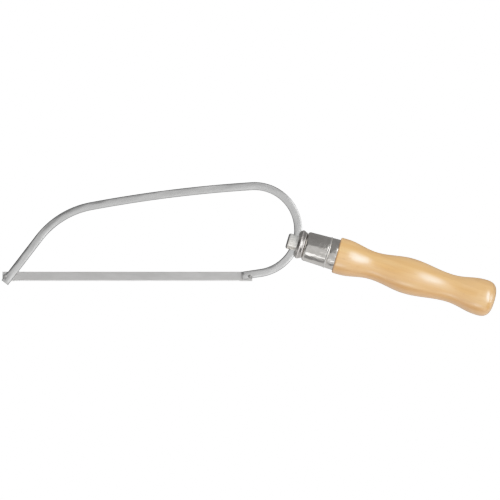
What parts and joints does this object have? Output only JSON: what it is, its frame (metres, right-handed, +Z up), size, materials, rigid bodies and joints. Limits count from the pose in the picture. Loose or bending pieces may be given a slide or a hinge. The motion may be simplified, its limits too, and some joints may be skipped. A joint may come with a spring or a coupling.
{
  "type": "coping saw",
  "caption": "Coping saw with a sprung steel bow, a pin-end blade and a turned wooden handle that clamps the bow through an eye bolt.",
  "frame": {"origin": "middle of the grip, on the handle's axis", "axes": "+Z up, +X along the blade towards the handle, +Y across the plane of the saw"},
  "size_m": [0.2967, 0.0222, 0.0803],
  "materials": {
    "bow_plate": "satin nickel plate",
    "blade_steel": "matte grey rolled steel",
    "pin_steel": "plain drawn steel",
    "bolt_plate": "bright nickel plate",
    "collar_plate": "bright nickel plate",
    "ferrule_plate": "polished nickel plate",
    "lacquered_wood": "clear gloss lacquer over beech"
  },
  "bodies": {
    "handle": {"wood_handle": "lacquered_wood", "ferrule": "ferrule_plate", "clamp_nut": "pin_steel"},
    "collar": {"collar": "collar_plate", "thrust_washer": "collar_plate"},
    "bolt": {"eye_bolt": "bolt_plate"},
    "bow": {"bow": "bow_plate", "blade": "blade_steel", "blade_pin_front": "pin_steel", "blade_pin_rear": "pin_steel"}
  },
  "joints": [
    {"name": "handle_turn", "type": "hinge", "parent": "handle", "child": "collar", "pos_m": [0, 0, 0], "axis": [-0.9598, 0, 0.2807], "range_deg": [0, 720]},
    {"name": "bolt_travel", "type": "slide", "parent": "collar", "child": "bolt", "axis": [-0.9598, 0, 0.2807], "range_m": [0, 0.002]},
    {"name": "bow_shift", "type": "hinge", "parent": "bolt", "child": "bow", "pos_m": [-0.09242, 0, 0.02776], "axis": [0, 1, 0], "range_deg": [-40, 70]}
  ],
  "couplings": [
    {"joint": "bolt_travel", "follows": "handle_turn", "m_per_rad": 0.00015915}
  ]
}
